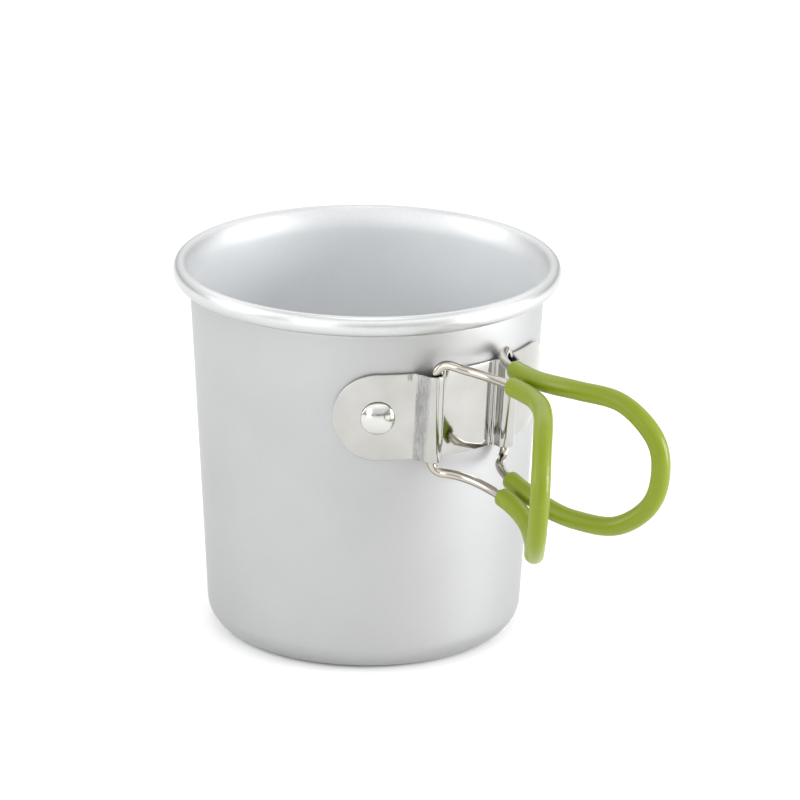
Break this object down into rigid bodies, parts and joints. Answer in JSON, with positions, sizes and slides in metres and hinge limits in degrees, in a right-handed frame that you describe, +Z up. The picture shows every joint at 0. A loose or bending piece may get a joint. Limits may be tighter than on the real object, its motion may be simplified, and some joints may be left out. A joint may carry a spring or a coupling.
{
  "type": "camping cup pot with folding handles",
  "caption": "Open aluminium camping cup pot with a rolled rim and a riveted steel strip that carries folding wire loop handles in plastic sleeves.",
  "frame": {"origin": "centre of the cup's flat base, on the face it stands on", "axes": "+Z up out of the cup's mouth, +X from the cup towards the handle strip and the handles, +Y to the right of someone facing the handles"},
  "size_m": [0.1495, 0.0928, 0.0914],
  "materials": {
    "pot_aluminium": "satin, light grey, bare metal",
    "strip_steel": "polished stainless sheet",
    "rivet_metal": "polished domed heads",
    "wire_nickel": "bright nickel plate on steel wire",
    "sleeve_green": "semi-gloss yellow-green soft plastic tube"
  },
  "bodies": {
    "cup": {"pot_body": "pot_aluminium", "handle_strip": "strip_steel", "rivet_left": "rivet_metal", "rivet_right": "rivet_metal"},
    "handle_left": {"handle_wire_left": "wire_nickel", "handle_sleeve_left": "sleeve_green"},
    "handle_right": {"handle_wire_right": "wire_nickel", "handle_sleeve_right": "sleeve_green"}
  },
  "joints": [
    {"name": "handle_left_hinge", "type": "hinge", "parent": "cup", "child": "handle_left", "pos_m": [0.04294, -0.01053, 0.06575], "axis": [-0.0785, 0, -0.9969], "range_deg": [0, 129]},
    {"name": "handle_right_hinge", "type": "hinge", "parent": "cup", "child": "handle_right", "pos_m": [0.04294, 0.01053, 0.06575], "axis": [0.0218, 0, 0.9998], "range_deg": [0, 139.5]}
  ]
}
